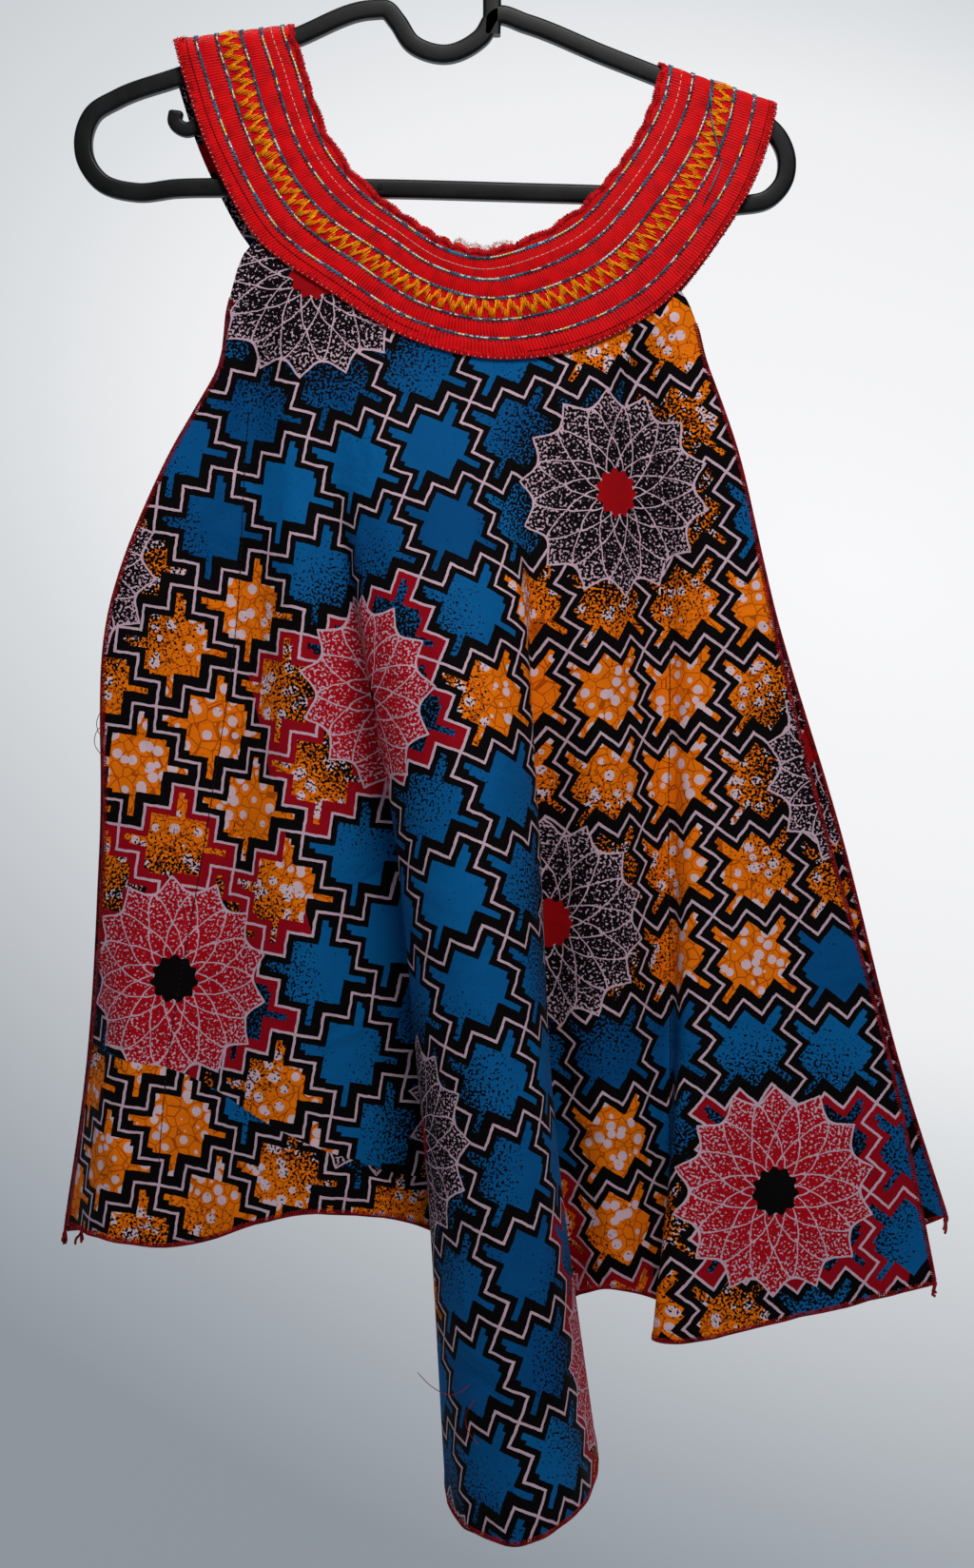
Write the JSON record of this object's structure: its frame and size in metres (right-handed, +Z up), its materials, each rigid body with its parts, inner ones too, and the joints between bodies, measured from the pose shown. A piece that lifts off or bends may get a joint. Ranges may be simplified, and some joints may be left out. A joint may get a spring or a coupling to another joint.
{
  "type": "sleeveless dress on a plastic clothes hanger",
  "caption": "Sleeveless kaftan-cut dress of print cotton with a wide embroidered yoke, flared front fold and side wings, hanging on a one-piece plastic hanger.",
  "frame": {"origin": "top of the inside of the hanger's hook, where it rests on its rail", "axes": "+Z up, +X towards the wearer's left, and the dress's front faces -Y"},
  "size_m": [0.5136, 0.218, 0.9389],
  "materials": {
    "print_cotton": "plain-weave cotton with a wax print in blue, orange, crimson and black, matt",
    "yoke_cotton": "red ribbed cotton with machine embroidery",
    "hanger_plastic": "moulded plastic with a satin surface"
  },
  "bodies": {
    "root": {"front_panel": "print_cotton", "front_lower_piece": "print_cotton", "back_panel": "print_cotton", "left_armhole_turning": "print_cotton", "front_yoke": "yoke_cotton", "back_yoke": "yoke_cotton", "hanger": "hanger_plastic"}
  },
  "joints": []
}
